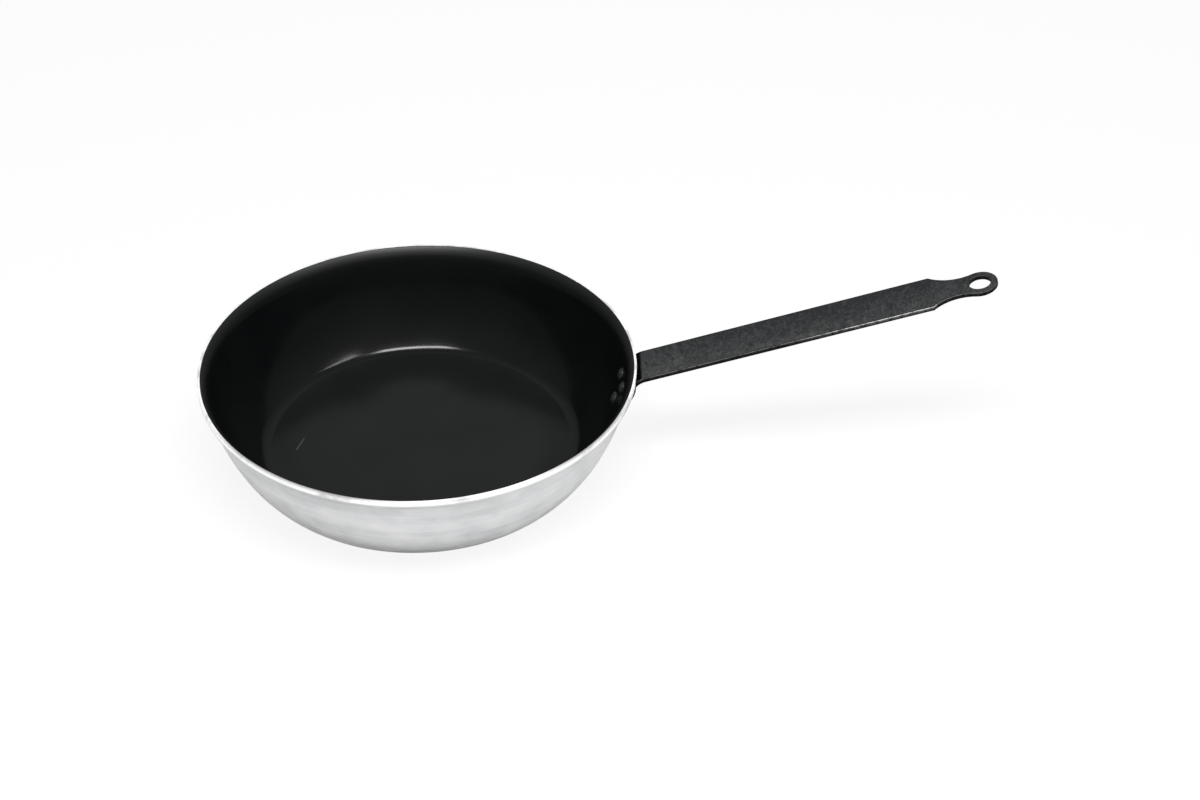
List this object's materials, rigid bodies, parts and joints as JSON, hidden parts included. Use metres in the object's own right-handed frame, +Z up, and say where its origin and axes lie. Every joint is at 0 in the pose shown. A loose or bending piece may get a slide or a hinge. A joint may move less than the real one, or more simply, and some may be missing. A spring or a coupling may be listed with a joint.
{
  "type": "omelette pan",
  "caption": "Round omelette pan: turned aluminium body with flared walls and black non-stick lining, riveted dark steel strip handle with a hanging eyelet.",
  "frame": {"origin": "on the pan's axis, at the underside of the base", "axes": "+Z up along the pan's axis; +X from the pan's centre out along the handle; +Y across the handle, to the left of someone looking along +X"},
  "size_m": [0.5071, 0.28, 0.1293],
  "materials": {
    "body_aluminium": "turned and brushed, satin",
    "lining": "black non-stick lining, satin sheen",
    "handle_steel": "dark grey coated steel with a fine mottle, satin",
    "rivet_metal": "dark grey, satin"
  },
  "bodies": {
    "root": {"pan_body": "body_aluminium", "nonstick_coating": "lining", "handle": "handle_steel", "rivet_upper_left": "rivet_metal", "rivet_upper_right": "rivet_metal", "rivet_lower": "rivet_metal"}
  },
  "joints": []
}
